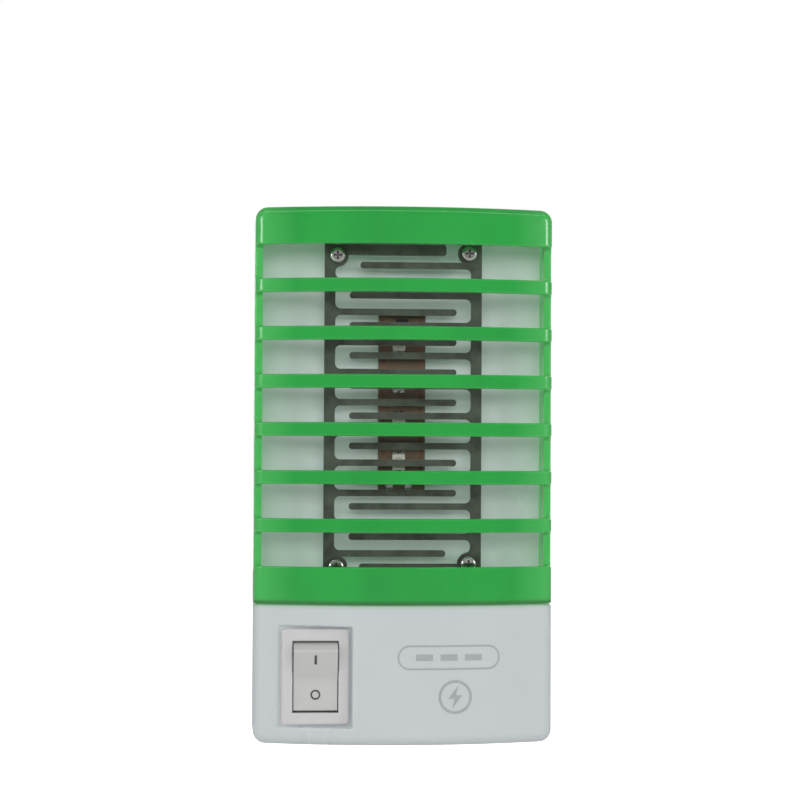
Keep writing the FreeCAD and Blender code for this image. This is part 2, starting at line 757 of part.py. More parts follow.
def grid_hardware():
    """The washers, solder lugs and nuts behind the plate, where the grid screws end."""
    upper = [place for place in GRID_SCREWS if place[1].value > 0]
    lower = [place for place in GRID_SCREWS if place[1].value < 0]
    hole = d.grid_shank_radius + 0.12
    back = d.plate_depth - d.washer_thickness
    washers = Moulding("grid_washers", several=True)
    rings = washers.front(back)
    rings.circles(upper, d.washer_radius)
    rings.circles(upper, hole)
    washers.pad(rings, d.washer_thickness)
    lugs = Moulding("grid_solder_lugs", several=True)
    rings = lugs.front(back)
    rings.circles(lower, d.washer_radius)
    lugs.pad(rings, d.washer_thickness)
    tongues = lugs.front(back)
    for x, z in lower:
        tongues.rectangle(x - 1.1, z + 1.5, x + 1.1, z + 6.5)
    lugs.pad(tongues, d.washer_thickness)
    holes = lugs.front(back - 0.1)
    holes.circles(lower, hole)
    holes.circles([(x, z + 5.4) for x, z in lower], Dim(0.5))
    lugs.cut_on(holes, d.washer_thickness + 0.2)
    nuts = Moulding("grid_nuts", several=True)
    hexagons = nuts.front(back - d.grid_nut_height)
    half_side = d.grid_nut_radius / 2
    flat = d.grid_nut_radius * math.sqrt(0.75)
    for x, z in GRID_SCREWS:
        hexagons.polygon(
            [
                (x + d.grid_nut_radius, z),
                (x + half_side, z + flat),
                (x - half_side, z + flat),
                (x - d.grid_nut_radius, z),
                (x - half_side, z - flat),
                (x + half_side, z - flat),
            ]
        )
    nuts.pad(hexagons, d.grid_nut_height)
    bores = nuts.front(back - d.grid_nut_height)
    bores.circles(GRID_SCREWS, d.grid_shank_radius + 0.03)
    nuts.cut_on(bores, d.grid_nut_height)
    nuts.soften(0.2, lambda e: at(e, 1, back - d.grid_nut_height) and e.Length < 5, kind="Chamfer")


def light_strip():
    """The long narrow board behind the grid, its four lamps and its two small resistors."""
    board = Moulding("led_board")
    outline = board.front(PLATE_FRONT)
    outline.rectangle(-d.strip_half_width, d.strip_lower, d.strip_half_width, d.strip_upper)
    board.pad(outline, d.strip_thickness)
    board.soften(0.5, lambda e: spans(e, 1))
    holes = board.front(PLATE_FRONT)
    holes.circles(STRIP_PADS, Dim(0.45))
    board.cut_on(holes, d.strip_thickness)
    lamps = Moulding("uv_leds", several=True)
    heights = [d.lamp_first - d.lamp_pitch * row for row in range(int(DIMENSIONS["lamp_count"]))]
    boxes = lamps.front(STRIP_FRONT + 0.02)
    half_x, half_z = d.lamp_width / 2, d.lamp_length / 2
    for height in heights:
        boxes.rectangle(-d.lamp_offset - half_x, height - half_z, half_x - d.lamp_offset, height + half_z)
    lamps.pad(boxes, d.lamp_height)
    lamps.soften(0.25, lambda e: spans(e, 1))
    cups = lamps.front(STRIP_FRONT + d.lamp_height + 0.02)
    cups.circles([(-d.lamp_offset, height) for height in heights], d.lamp_cup_radius)
    lamps.cut_back(cups, Dim(0.5))
    chips = Moulding("led_resistors", several=True)
    blocks = chips.front(STRIP_FRONT + 0.02)
    for height in (heights[0] + 4.6, heights[1] - d.lamp_pitch / 2):
        blocks.rectangle(
            -d.chip_length / 2, height - d.chip_width / 2, d.chip_length / 2, height + d.chip_width / 2
        )
    chips.pad(blocks, d.chip_height)
    chips.soften(0.12, lambda e: spans(e, 1))


def switch_housing():
    """The rocker switch's body: a flange that sits in the recess, and an open box behind it."""
    piece = Moulding("switch_housing")
    front = d.recess_depth + d.bezel_thickness
    rear = d.recess_depth - d.switch_body_length
    flange = piece.front(d.recess_depth)
    half_x, half_z = d.bezel_width / 2, d.bezel_height / 2
    flange.rectangle(SWITCH_X - half_x, SWITCH_Z - half_z, SWITCH_X + half_x, SWITCH_Z + half_z)
    piece.pad(flange, d.bezel_thickness)
    piece.soften(1.0, lambda e: spans(e, 1))
    piece.soften(0.7, lambda e: at(e, 1, front))
    body = piece.front(rear)
    half_x, half_z = d.switch_body_width / 2, d.switch_body_height / 2
    body.rectangle(SWITCH_X - half_x, SWITCH_Z - half_z, SWITCH_X + half_x, SWITCH_Z + half_z)
    piece.pad(body, d.switch_body_length + 0.2)
    latch_depth = d.recess_depth - d.front_wall - 0.1
    for end in (-1, 1):
        latch = piece.side(SWITCH_X - 2.2)
        root = SWITCH_Z + end * (half_z - 0.1)
        latch.polygon(
            [
                (-latch_depth, root),
                (-latch_depth, root + end * 0.9),
                (-latch_depth + 3.4, root + end * 0.12),
                (-latch_depth + 3.4, root),
            ]
        )
        piece.pad(latch, Dim(4.4))
    window = piece.front(front + 0.1)
    half_x, half_z = d.rocker_window_width / 2, d.rocker_window_height / 2
    window.rectangle(SWITCH_X - half_x, SWITCH_Z - half_z, SWITCH_X + half_x, SWITCH_Z + half_z)
    piece.cut_back(window, front + 0.1 - rear - d.switch_floor)
    piece.soften(0.35, lambda e: at(e, 1, front) and on_window(e))
    pivots = piece.side(SWITCH_X - half_x - d.rocker_stub_length - 0.1)
    pivots.circle((-d.rocker_pivot_depth, SWITCH_Z), d.rocker_stub_radius + 0.05)
    piece.cut_on(pivots, 2 * (half_x + d.rocker_stub_length + 0.1))
    slots = piece.front(rear)
    slot_x, slot_z = d.tab_width / 2 + 0.05, d.tab_thickness / 2 + 0.05
    for height in (SWITCH_Z, SWITCH_Z - d.output_tab_drop):
        slots.rectangle(SWITCH_X - slot_x, height - slot_z, SWITCH_X + slot_x, height + slot_z)
    piece.cut_on(slots, d.switch_floor + 0.1)


def on_window(edge):
    """True for the edges of the rocker's window."""
    low, high = ends(edge)
    half_x, half_z = plain(d.rocker_window_width) / 2 + 0.1, plain(d.rocker_window_height) / 2 + 0.1
    middle_x, middle_z = (low[0] + high[0]) / 2 - plain(SWITCH_X), (low[2] + high[2]) / 2 - plain(SWITCH_Z)
    return abs(middle_x) < half_x and abs(middle_z) < half_z


def turn_on_pivot(body):
    """Stands the piece on the rocker's pivot and leans it to the resting position, lower end pressed in."""
    bind(body, "Placement.Base.x", SWITCH_X)
    bind(body, "Placement.Base.y", -d.rocker_pivot_depth)
    bind(body, "Placement.Base.z", SWITCH_Z)
    body.Placement = Placement(body.Placement.Base, Rotation(Vector(1, 0, 0), DIMENSIONS["rocker_tilt"]))
    bind(body, "Placement.Rotation.Angle", d.rocker_tilt)
    doc.recompute()


def switch_rocker():
    """The rocker about its own pivot: two shallow facets, round ends, pivot stubs and a hollow stem."""
    piece = Moulding("switch_rocker")
    slope = math.tan(math.radians(DIMENSIONS["rocker_tilt"]))
    share = 1 + slope * slope
    valley, radius = d.rocker_valley, d.rocker_end_radius
    inside = valley * valley * (slope * slope) - (valley * valley - radius * radius) * share
    crest_z = (inside.root() - valley * slope) / share
    crest_y = -valley - crest_z * slope
    skirt_z = (radius * radius - d.rocker_skirt * d.rocker_skirt).root()
    profile = piece.side(-d.rocker_width / 2)
    profile.path(
        [
            ((-valley, Dim(0)), None),
            ((crest_y, -crest_z), (radius, 1)),
            ((d.rocker_skirt, -skirt_z), None),
            ((d.rocker_skirt, skirt_z), (radius, 1)),
            ((crest_y, crest_z), None),
        ]
    )
    piece.pad(profile, d.rocker_width)
    piece.soften(3.0, lambda e: at(e, 1, valley) and at(e, 2, 0))
    piece.soften(0.5, lambda e: at(e, 1, -crest_y) and spans(e, 0))
    stubs = piece.side(-d.rocker_width / 2 - d.rocker_stub_length)
    stubs.circle((Dim(0), Dim(0)), d.rocker_stub_radius)
    piece.pad(stubs, d.rocker_width + 2 * d.rocker_stub_length)
    stem = piece.front(-d.stem_length)
    stem.circle((Dim(0), Dim(0)), d.stem_radius)
    piece.pad(stem, d.stem_length - d.rocker_skirt + 0.2)
    bore = piece.front(-d.stem_length)
    bore.circle((Dim(0), Dim(0)), d.spring_bore_radius)
    piece.cut_on(bore, d.stem_length - 0.6)
    turn_on_pivot(piece.body)


def switch_plunger():
    """The small brass plunger that the spring pushes out of the rocker's stem."""
    piece = Moulding("switch_plunger")
    shank = piece.front(-d.plunger_tip)
    shank.circle((Dim(0), Dim(0)), d.plunger_radius)
    piece.pad(shank, d.plunger_tip - 3.3)
    piece.soften(0.9, lambda e: at(e, 1, -d.plunger_tip))
    turn_on_pivot(piece.body)


def switch_spring():
    """The coil spring between the rocker and its plunger."""
    radius, thickness = DIMENSIONS["spring_radius"], DIMENSIONS["spring_wire_radius"]
    start, end = DIMENSIONS["spring_start"] + thickness, DIMENSIONS["spring_end"] - thickness
    helix = Part.makeHelix((end - start) / DIMENSIONS["spring_turns"], end - start, radius)
    along = helix.Edges[0].tangentAt(helix.Edges[0].FirstParameter)
    ring = Part.Wire(Part.makeCircle(thickness, Vector(radius, 0, 0), along))
    spring = doc.addObject("Part::Feature", "switch_spring")
    spring.Shape = Part.Wire(helix.Edges).makePipeShell([ring], True, True)
    lay_back = Placement(Vector(0, start, 0), Rotation(Vector(1, 0, 0), -90))
    leaned = Rotation(Vector(1, 0, 0), DIMENSIONS["rocker_tilt"])
    middle = Vector(plain(SWITCH_X), -plain(d.rocker_pivot_depth), plain(SWITCH_Z))
    spring.Placement = Placement(middle, leaned) * lay_back


def switch_contacts():
    """The see-saw contact arm on its knife edge, and the two terminal tabs through the floor."""
    pivot = d.rocker_pivot_depth - d.contact_pivot
    arm = Moulding("switch_contact_arm")
    plate = arm.front(Dim(0))
    half_x, half_z = d.contact_width / 2, d.contact_half_length
    plate.rectangle(-half_x, -half_z, half_x, half_z)
    arm.pad(plate, d.contact_thickness)
    arm.soften(0.6, lambda e: spans(e, 1))
    button = arm.front(Dim(-0.4))
    button.circle((Dim(0), -half_z + 1.2), d.rivet_radius - 0.2)
    arm.pad(button, Dim(0.5))
    bind(arm.body, "Placement.Base.x", SWITCH_X)
    bind(arm.body, "Placement.Base.y", -pivot)
    bind(arm.body, "Placement.Base.z", SWITCH_Z)
    arm.body.Placement = Placement(
        arm.body.Placement.Base, Rotation(Vector(-1, 0, 0), DIMENSIONS["contact_tilt"])
    )
    bind(arm.body, "Placement.Rotation.Angle", d.contact_tilt)
    half_tab, half_thick = d.tab_width / 2, d.tab_thickness / 2
    edge_radius = half_thick
    common = Moulding("switch_common_terminal")
    top = pivot - 0.03
    outline = common.side(SWITCH_X - half_tab)
    outline.path(
        [
            ((-d.tab_end_depth, SWITCH_Z - half_thick), None),
            ((-d.tab_end_depth, SWITCH_Z + half_thick), None),
            ((-(top - edge_radius), SWITCH_Z + half_thick), (edge_radius, 1)),
            ((-(top - edge_radius), SWITCH_Z - half_thick), None),
        ]
    )
    common.pad(outline, d.tab_width)
    eye = common.plan(SWITCH_Z - half_thick)
    eye.circle((SWITCH_X, -d.tab_end_depth - 2.2), Dim(0.8))
    common.cut_on(eye, d.tab_thickness)
    output = Moulding("switch_output_terminal")
    low = SWITCH_Z - d.output_tab_drop
    shelf = pivot - 1.5
    outline = output.side(SWITCH_X - half_tab)
    outline.polygon(
        [
            (-d.tab_end_depth, low - half_thick),
            (-d.tab_end_depth, low + half_thick),
            (-(shelf - 0.8), low + half_thick),
            (-(shelf - 0.8), low + 3.1),
            (-shelf, low + 3.1),
            (-shelf, low - half_thick),
        ]
    )
    output.pad(outline, d.tab_width)
    rivet = output.front(shelf - 0.1)
    rivet.circle((SWITCH_X, SWITCH_Z - half_z + 1.1), d.rivet_radius)
    output.pad(rivet, Dim(0.5))
    output.soften(0.25, lambda e: at(e, 1, shelf + 0.4))
    eye = output.plan(low - half_thick)
    eye.circle((SWITCH_X, -d.tab_end_depth - 2.2), Dim(0.8))
    output.cut_on(eye, d.tab_thickness)


# Where things sit on the circuit board, as (x, z).
DROPPER = (4.5, -38.6)
FILMS = [(18.2, -22.9), (18.2, -27.6), (18.2, -32.3), (18.2, -37.0)]
CAN = (0.2, -21.6)
DIODES = [(9.0, -21.5), (9.0, -25.0), (9.0, -28.5), (9.0, -32.0)]
RESISTORS = [(0.5, -27.0), (0.5, -30.2), (0.5, -33.4)]
WIRE_PADS = [(-6.8, -31.0), (-6.8, -26.5), (14.5, -18.9), (21.0, -18.9), (8.2, -18.9), (4.9, -18.9)]


def either_side(places, reach):
    """Two places for each given one, reach to its left and to its right."""
    return [(x + side * reach, z) for x, z in places for side in (-1, 1)]


def circuit_board():
    """The bare board, its two screws and the solder behind every lead."""
    board = Moulding("main_board")
    outline = board.front(d.board_depth)
    outline.rectangle(-d.board_left, -d.board_bottom_drop, d.board_right, -d.board_top_drop)
    board.pad(outline, d.board_thickness)
    board.soften(0.8, lambda e: spans(e, 1))
    holes = board.front(d.board_depth)
    holes.circles(BOARD_POSTS, d.board_screw_radius + 0.25)
    board.cut_on(holes, d.board_thickness)
    screws(
        "board_screws",
        BOARD_POSTS,
        BOARD_FRONT,
        (Dim(1.9), Dim(1.3)),
        (d.board_screw_radius, BOARD_FRONT - FLOOR_DEPTH - 0.3),
        toward_wall=False,
    )
    joints = Moulding("solder_joints", several=True)
    leads = (
        either_side([DROPPER], DIMENSIONS["dropper_reach"])
        + either_side(FILMS, DIMENSIONS["film_reach"])
        + either_side([CAN], DIMENSIONS["can_reach"])
        + either_side(DIODES, DIMENSIONS["diode_reach"])
        + either_side(RESISTORS, DIMENSIONS["resistor_reach"])
        + WIRE_PADS
    )
    height = 0.7
    tips = joints.front(d.board_depth - height - 0.02)
    tips.circles([(Dim(x), Dim(z)) for x, z in leads], d.lead_radius + 0.05)
    cones = joints.pad(tips, Dim(height))
    cones.TaperAngle = 30
    doc.recompute()


def standing_box(label, places, width, thickness, height, reach):
    """Box capacitors that stand on the board on two leads."""
    piece = Moulding(label, several=True)
    boxes = piece.front(BOARD_FRONT + 0.5)
    for x, z in places:
        boxes.rectangle(x - width / 2, z - thickness / 2, x + width / 2, z + thickness / 2)
    piece.pad(boxes, height)
    piece.soften(0.7, lambda e: e.Length > 2)
    leads = piece.front(BOARD_FRONT + 0.02)
    leads.circles([(x, Dim(z)) for x, z in either_side(places, reach)], d.lead_radius)
    piece.pad(leads, Dim(1.0))


def lying_barrels(label, places, radius, length, reach, rounding):
    """Axial components lying along X just off the board, their leads bent down to it."""
    piece = Moulding(label, several=True)
    depth = BOARD_FRONT + radius + 0.5
    x = places[0][0]
    barrels = piece.side(x - length / 2)
    barrels.circles([(-depth, Dim(z)) for _, z in places], radius)
    piece.pad(barrels, length)
    piece.soften(rounding, lambda e: e.Length > 6 * plain(radius))
    rods = piece.side(x - reach)
    rods.circles([(-depth, Dim(z)) for _, z in places], d.lead_radius - 0.05)
    piece.pad(rods, 2 * reach)
    legs = piece.front(BOARD_FRONT + 0.02)
    legs.circles([(x, Dim(z)) for x, z in either_side(places, reach)], d.lead_radius)
    piece.pad(legs, depth - BOARD_FRONT + d.lead_radius)
    piece.soften(0.2, lambda e: at(e, 1, depth + d.lead_radius + 0.02))


def electrolytic_capacitor():
    """The small can with its crimped groove near the base."""
    piece = Moulding("electrolytic_capacitor")
    centre = (Dim(CAN[0]), Dim(CAN[1]))
    base = BOARD_FRONT + 0.4
    core = piece.front(base)
    core.circle(centre, d.can_radius - 0.2)
    piece.pad(core, d.can_height)
    for start, height in ((base, Dim(1.2)), (base + 1.7, d.can_height - 1.7)):
        ring = piece.front(start)
        ring.circle(centre, d.can_radius)
        piece.pad(ring, height)
    piece.soften(0.5, lambda e: at(e, 1, base + d.can_height) and e.Length > 15)
    leads = piece.front(BOARD_FRONT + 0.02)
    leads.circles([(x, Dim(z)) for x, z in either_side([CAN], d.can_reach)], d.lead_radius)
    piece.pad(leads, Dim(0.6))


def components():
    """Everything that stands on the circuit board."""
    standing_box(
        "dropper_capacitor",
        [DROPPER],
        d.dropper_width,
        d.dropper_thickness,
        d.dropper_height,
        d.dropper_reach,
    )
    standing_box(
        "multiplier_capacitors", FILMS, d.film_width, d.film_thickness, d.film_height, d.film_reach
    )
    lying_barrels("rectifier_diodes", DIODES, d.diode_radius, d.diode_length, d.diode_reach, Dim(0.2))
    lying_barrels("resistors", RESISTORS, d.resistor_radius, d.resistor_length, d.resistor_reach, Dim(0.6))
    electrolytic_capacitor()


def strip_joints():
    """The two solder domes on the front of the light strip, with the wire ends that pass through it."""
    piece = Moulding("led_solder_joints", several=True)
    domes = piece.front(STRIP_FRONT + 0.02)
    domes.circles(STRIP_PADS, Dim(1.0))
    piece.pad(domes, Dim(0.55))
    piece.soften(0.45, lambda e: at(e, 1, STRIP_FRONT + 0.57))
    cores = piece.front(PLATE_FRONT - 0.1)
    cores.circles(STRIP_PADS, Dim(0.4))
    piece.pad(cores, d.strip_thickness + 0.2)


def wire(label, radius, places):
    """An insulated wire through (x, depth, z) places: straight runs joined by round bends."""
    points = [Vector(plain(x), -plain(depth), plain(z)) for x, depth, z in places]
    edges, start = [], points[0]
    for before, corner, after in zip(points, points[1:], points[2:]):
        back, ahead = (before - corner).normalize(), (after - corner).normalize()
        half_angle = back.getAngle(ahead) / 2
        room = 0.48 * min(before.distanceToPoint(corner), after.distanceToPoint(corner))
        bend = min(DIMENSIONS["wire_bend"], room * math.tan(half_angle))
        setback = bend / math.tan(half_angle)
        centre = corner + (back + ahead).normalize() * (bend / math.sin(half_angle))
        middle = centre + (corner - centre).normalize() * bend
        entry, leaving = corner + back * setback, corner + ahead * setback
        edges += [Part.makeLine(start, entry), Part.Arc(entry, middle, leaving).toShape()]
        start = leaving
    edges.append(Part.makeLine(start, points[-1]))
    ring = Part.Wire(Part.makeCircle(plain(radius), points[0], points[1] - points[0]))
    item = doc.addObject("Part::Feature", label)
    item.Shape = Part.Wire(edges).makePipeShell([ring], True, False)
    return item


def wiring():
    """The seven insulated wires: mains and switched mains, the two grid leads and the two lamp leads."""
    start = BOARD_FRONT + 0.05
    tail = d.pin_tail_depth + 0.05
    low_run = tail + 2.0
    high_run = d.seam_depth - 1.0
    over_plate = d.plate_depth - 0.75
    tab = d.tab_end_depth + 2.2
    thick = d.mains_wire_radius
    common_top = SWITCH_Z + d.tab_thickness / 2 + 0.05
    output_bottom = SWITCH_Z - d.output_tab_drop - d.tab_thickness / 2 - 0.05
    lug_back = d.plate_depth - d.washer_thickness - 0.05
    lug_z = -d.grid_screw_lower + 5.4
    behind_strip = PLATE_FRONT - 0.15
    wire(
        "live_wire",
        thick,
        [
            (-d.pin_x, tail, 0),
            (-d.pin_x, low_run, 0),
            (-12.5, low_run, -9.0),
            (-17.5, tab, -19.5),
            (SWITCH_X, tab, -25.0),
            (SWITCH_X, tab, common_top),
        ],
    )
    wire(
        "switched_wire",
        thick,
        [
            (SWITCH_X, tab, output_bottom),
            (SWITCH_X, tab, output_bottom - 2.4),
            (-14.2, tab + 1.0, -41.6),
            (-9.6, tab + 2.2, -37.4),
            (WIRE_PADS[0][0], start + 2.6, WIRE_PADS[0][1]),
            (WIRE_PADS[0][0], start, WIRE_PADS[0][1]),
        ],
    )
    wire(
        "neutral_wire",
        thick,
        [
            (d.pin_x, tail, 0),
            (d.pin_x, low_run, 0),
            (5.5, low_run, -8.5),
            (-3.5, low_run, -15.0),
            (-6.8, low_run, -21.0),
            (WIRE_PADS[1][0], start + 2.6, WIRE_PADS[1][1]),
            (WIRE_PADS[1][0], start, WIRE_PADS[1][1]),
        ],
    )
    wire(
        "grid_wire_left",
        thick,
        [
            (WIRE_PADS[2][0], start, WIRE_PADS[2][1]),
            (WIRE_PADS[2][0], high_run, WIRE_PADS[2][1]),
            (11.0, high_run, -11.5),
            (-6.0, high_run, -5.2),
            (-d.grid_screw_x, high_run, lug_z),
            (-d.grid_screw_x, lug_back, lug_z),
        ],
    )
    wire(
        "grid_wire_right",
        thick,
        [
            (WIRE_PADS[3][0], start, WIRE_PADS[3][1]),
            (WIRE_PADS[3][0], high_run, WIRE_PADS[3][1]),
            (19.2, high_run, -12.0),
            (19.2, high_run, lug_z - 3.4),
            (d.grid_screw_x, high_run, lug_z),
            (d.grid_screw_x, lug_back, lug_z),
        ],
    )
    for label, pad, goal in (
        ("led_wire_positive", WIRE_PADS[4], STRIP_PADS[1]),
        ("led_wire_negative", WIRE_PADS[5], STRIP_PADS[0]),
    ):
        wire(
            label,
            d.lamp_wire_radius,
            [
                (pad[0], start, pad[1]),
                (pad[0], high_run + 0.2, pad[1]),
                (pad[0], high_run + 0.2, -15.2),
                (pad[0] - 0.8, over_plate, -12.4),
                (goal[0], over_plate, 3.0),
                (goal[0], over_plate, goal[1]),
                (goal[0], behind_strip, goal[1]),
            ],
        )


SUBPARTS = [
    "rear_shell",
    "front_housing",
    "grille_cover",
    "plug_pin_left",
    "plug_pin_right",
    "pin_sleeves",
    "case_screws",
    "main_board",
    "board_screws",
    "solder_joints",
    "dropper_capacitor",
    "multiplier_capacitors",
    "rectifier_diodes",
    "resistors",
    "electrolytic_capacitor",
    "led_board",
    "uv_leds",
    "led_resistors",
    "led_solder_joints",
    "left_electrode",
    "right_electrode",
    "grid_screws",
    "grid_washers",
    "grid_solder_lugs",
    "grid_nuts",
    "switch_housing",
    "switch_rocker",
    "switch_spring",
    "switch_plunger",
    "switch_contact_arm",
    "switch_common_terminal",
    "switch_output_terminal",
    "live_wire",
    "switched_wire",
    "neutral_wire",
    "grid_wire_left",
    "grid_wire_right",
    "led_wire_positive",
    "led_wire_negative",
]


def write_parts():
    """Checks every object and writes one STEP file for each sub-part."""
    doc.recompute()
    failed = [o.Label for o in doc.Objects if {"Invalid", "Error"} & set(o.State)]
    if failed:
        raise RuntimeError(f"these objects failed: {failed}")
    os.makedirs("parts", exist_ok=True)
    for name in SUBPARTS:
        shape = [o for o in doc.Objects if o.Label == name][0].Shape
        if shape.isNull() or not shape.isValid() or not shape.Solids:
            raise RuntimeError(f"{name} has no valid solid")
        shape.exportStep(f"parts/{name}.step")


rear_shell()
front_housing()
grille_cover()
plug_pin("plug_pin_left", -1)
plug_pin("plug_pin_right", 1)
pin_sleeves()
screws(
    "case_screws",
    CASE_SCREWS,
    d.case_seat_depth,
    (d.case_head_radius, d.case_head_height),
    (d.case_shank_radius, d.case_screw_length),
    toward_wall=True,
)
electrode("left_electrode", -1)
electrode("right_electrode", 1)
screws(
    "grid_screws",
    GRID_SCREWS,
    GRID_FRONT,
    (d.grid_head_radius, d.grid_head_height),
    (d.grid_shank_radius, d.grid_screw_length),
    toward_wall=False,
)
grid_hardware()
light_strip()
strip_joints()
switch_housing()
switch_rocker()
switch_plunger()
switch_spring()
switch_contacts()
circuit_board()
components()
wiring()
write_parts()
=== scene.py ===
"""The looks of the plug-in insect killer: its materials, small surface details, light and camera.

Everything is in metres in the model's own frame: +Z up, +X right, the front faces -Y. Sizes below are
written in millimetres and turned into metres with MM.
"""

import json
import math

import bmesh
import bpy
from mathutils import Matrix, Vector
from mathutils.bvhtree import BVHTree


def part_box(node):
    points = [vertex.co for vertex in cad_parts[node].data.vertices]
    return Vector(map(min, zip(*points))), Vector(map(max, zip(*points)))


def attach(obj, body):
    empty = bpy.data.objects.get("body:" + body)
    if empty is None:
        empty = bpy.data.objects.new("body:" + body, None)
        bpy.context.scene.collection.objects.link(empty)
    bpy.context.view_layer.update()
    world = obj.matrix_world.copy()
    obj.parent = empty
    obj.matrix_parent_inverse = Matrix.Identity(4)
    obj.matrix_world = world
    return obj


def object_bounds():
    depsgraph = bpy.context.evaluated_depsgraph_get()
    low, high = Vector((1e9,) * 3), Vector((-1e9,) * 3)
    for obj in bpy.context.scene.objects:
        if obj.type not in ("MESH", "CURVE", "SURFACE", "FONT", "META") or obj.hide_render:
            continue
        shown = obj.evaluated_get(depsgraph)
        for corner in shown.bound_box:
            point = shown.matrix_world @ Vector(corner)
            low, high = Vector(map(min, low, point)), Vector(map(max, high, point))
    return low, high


MM = 0.001

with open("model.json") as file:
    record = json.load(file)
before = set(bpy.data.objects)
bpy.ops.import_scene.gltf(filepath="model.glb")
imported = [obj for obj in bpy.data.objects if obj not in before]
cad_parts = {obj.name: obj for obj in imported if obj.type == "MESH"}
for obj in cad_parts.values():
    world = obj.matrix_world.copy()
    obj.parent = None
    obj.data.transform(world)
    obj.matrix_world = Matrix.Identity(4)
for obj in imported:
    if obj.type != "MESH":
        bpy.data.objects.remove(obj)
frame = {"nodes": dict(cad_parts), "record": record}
cad_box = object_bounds()


# ---------------------------------------------------------------- material nodes


class Finish:
    """One material and short calls for its nodes. Textures are laid out in millimetres of the object."""

    def __init__(self, name):
        self.material = bpy.data.materials.new(name)
        self.material.use_nodes = True
        self.tree = self.material.node_tree
        self.shader = self.tree.nodes["Principled BSDF"]
        where = self.add("ShaderNodeTexCoord").outputs["Object"]
        scaled = self.add("ShaderNodeVectorMath", {0: where, "Scale": 1 / MM}, operation="SCALE")
        self.place = scaled.outputs[0]

    def add(self, kind, inputs=None, **settings):
        node = self.tree.nodes.new(kind)
        for name, value in settings.items():
            setattr(node, name, value)
        for name, value in (inputs or {}).items():
            self.put(node.inputs[name], value)
        return node

    def put(self, socket, value):
        """Links a socket or sets a plain value; a three-part colour gets its alpha."""
        if isinstance(value, bpy.types.NodeSocket):
            self.tree.links.new(value, socket)
        elif socket.type == "RGBA" and len(value) == 3:
            socket.default_value = (*value, 1.0)
        else:
            socket.default_value = value

    def set(self, **values):
        """Sets inputs of the main shader; an underscore in a name stands for a space."""
        for name, value in values.items():
            self.put(self.shader.inputs[name.replace("_", " ")], value)

    def stretched(self, x, y, z):
        """The place, stretched along each axis, for textures with a grain."""
        scaled = self.add("ShaderNodeVectorMath", {0: self.place, 1: (x, y, z)}, operation="MULTIPLY")
        return scaled.outputs[0]

    def noise(self, size, detail=3.0, where=None):
        """Cloudy noise around 0.5 whose blotches are about size millimetres across."""
        inputs = {"Vector": where or self.place, "Scale": 1 / size, "Detail": detail, "Roughness": 0.55}
        return self.add("ShaderNodeTexNoise", inputs).outputs["Fac"]

    def span(self, value, low, high, to_low=0.0, to_high=1.0, smooth=False):
        """A value's stretch from low to high, mapped to another stretch and held at its ends."""
        inputs = {"Value": value, "From Min": low, "From Max": high, "To Min": to_low, "To Max": to_high}
        kind = "SMOOTHSTEP" if smooth else "LINEAR"
        return self.add("ShaderNodeMapRange", inputs, interpolation_type=kind).outputs["Result"]

    def maths(self, operation, first, second):
        """The result of one maths node."""
        return self.add("ShaderNodeMath", {0: first, 1: second}, operation=operation).outputs[0]

    def blend(self, share, first, second):
        """A colour between first and second."""
        node = self.add("ShaderNodeMix", data_type="RGBA")
        for index, value in ((0, share), (6, first), (7, second)):
            self.put(node.inputs[index], value)
        return node.outputs[2]

    def edges(self, radius):
        """1 on sharp convex edges and corners, 0 on flat stretches."""
        rounded = self.add("ShaderNodeBevel", {"Radius": radius * MM}, samples=4).outputs["Normal"]
        flat = self.add("ShaderNodeNewGeometry").outputs["Normal"]
        dot = self.add("ShaderNodeVectorMath", {0: rounded, 1: flat}, operation="DOT_PRODUCT")
        return self.span(dot.outputs["Value"], 0.995, 0.86)

    def hollows(self, reach):
        """1 deep in corners and under edges, 0 in the open."""
        open_sky = self.add("ShaderNodeAmbientOcclusion", {"Distance": reach * MM}, samples=6)
        return self.span(open_sky.outputs["AO"], 0.9, 0.35)

    def bump(self, height, depth, strength=1.0, base=None):
        """A normal bent by a height field that is depth millimetres deep, on top of another normal."""
        inputs = {"Height": height, "Distance": depth * MM, "Strength": strength}
        if base:
            inputs["Normal"] = base
        return self.add("ShaderNodeBump", inputs).outputs["Normal"]


